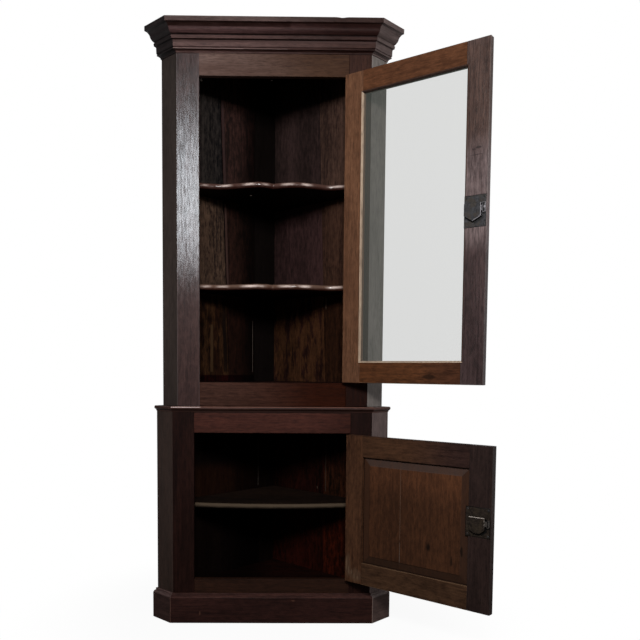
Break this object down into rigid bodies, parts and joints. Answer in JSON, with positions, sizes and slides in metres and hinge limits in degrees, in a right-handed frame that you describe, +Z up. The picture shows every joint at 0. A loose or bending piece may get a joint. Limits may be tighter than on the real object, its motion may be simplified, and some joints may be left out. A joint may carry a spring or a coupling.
{
  "type": "corner cupboard",
  "caption": "Tall two-part corner cupboard: canted front, moulded cornice and plinth, shaped shelves, and hinged glazed and panelled doors with sliding lock bolts.",
  "frame": {"origin": "on the floor, under the middle of the plinth's front board, in the plane of the board's middle", "axes": "+Z up, +Y into the corner of the room, +X to the right as one faces the cupboard; millimetres in the source, metres in the row"},
  "size_m": [1.1347, 0.8765, 2.085],
  "materials": {
    "case_wood": "dark red-brown, waxed, with worn edges",
    "plinth_wood": "dark maroon, waxed",
    "door_wood": "mid brown, thin old polish",
    "board_wood": "dark, rough sawn and dull",
    "shelf_wood": "dark brown, with edges rubbed pale",
    "glass": "clear old window glass",
    "iron": "dark wrought iron, worn bright on the edges"
  },
  "bodies": {
    "case": {"lower_left_stile": "case_wood", "lower_right_stile": "case_wood", "lower_left_return": "case_wood", "lower_right_return": "case_wood", "lower_bottom_rail": "case_wood", "lower_top_rail": "case_wood", "lower_left_back_board_1": "board_wood", "lower_left_back_board_2": "board_wood", "lower_right_back_board_1": "board_wood", "lower_right_back_board_2": "board_wood", "lower_floor": "board_wood", "lower_lid": "board_wood", "lower_shelf": "shelf_wood", "plinth_front": "plinth_wood", "plinth_left": "plinth_wood", "plinth_right": "plinth_wood", "waist_moulding_front": "case_wood", "waist_moulding_left": "case_wood", "waist_moulding_right": "case_wood", "upper_left_stile": "case_wood", "upper_right_stile": "case_wood", "upper_left_return": "case_wood", "upper_right_return": "case_wood", "upper_bottom_rail": "case_wood", "upper_top_rail": "case_wood", "upper_left_back_board_1": "board_wood", "upper_left_back_board_2": "board_wood", "upper_left_back_board_3": "board_wood", "upper_right_back_board_1": "board_wood", "upper_right_back_board_2": "board_wood", "upper_floor": "board_wood", "upper_lid": "board_wood", "middle_shelf": "shelf_wood", "high_shelf": "shelf_wood", "cornice_front": "case_wood", "cornice_left": "case_wood", "cornice_right": "case_wood", "upper_door_low_hinge_case_leaf": "iron", "upper_door_high_hinge_case_leaf": "iron", "lower_door_low_hinge_case_leaf": "iron", "lower_door_high_hinge_case_leaf": "iron"},
    "upper_door": {"upper_door_hinge_stile": "door_wood", "upper_door_lock_stile": "door_wood", "upper_door_bottom_rail": "door_wood", "upper_door_top_rail": "door_wood", "upper_door_glass": "glass", "upper_door_glazing_bead": "door_wood", "upper_door_lock": "iron", "upper_door_low_hinge_door_leaf": "iron", "upper_door_high_hinge_door_leaf": "iron"},
    "upper_bolt": {"upper_door_lock_bolt": "iron"},
    "lower_door": {"lower_door_hinge_stile": "door_wood", "lower_door_lock_stile": "door_wood", "lower_door_bottom_rail": "door_wood", "lower_door_top_rail": "door_wood", "lower_door_panel": "door_wood", "lower_door_lock": "iron", "lower_door_low_hinge_door_leaf": "iron", "lower_door_high_hinge_door_leaf": "iron"},
    "lower_bolt": {"lower_door_lock_bolt": "iron"}
  },
  "joints": [
    {"name": "upper_door_hinge", "type": "hinge", "parent": "case", "child": "upper_door", "pos_m": [0.259, 0.032, 0.861], "axis": [0, 0, 1], "range_deg": [-142.8, 32.2]},
    {"name": "upper_bolt_slide", "type": "slide", "parent": "upper_door", "child": "upper_bolt", "axis": [0.7965, -0.6046, 0], "range_m": [0, 0.012]},
    {"name": "lower_door_hinge", "type": "hinge", "parent": "case", "child": "lower_door", "pos_m": [0.276, 0.007, 0.157], "axis": [0, 0, 1], "range_deg": [-138.2, 36.8]},
    {"name": "lower_bolt_slide", "type": "slide", "parent": "lower_door", "child": "lower_bolt", "axis": [0.7455, -0.6665, 0], "range_m": [0, 0.012]}
  ]
}
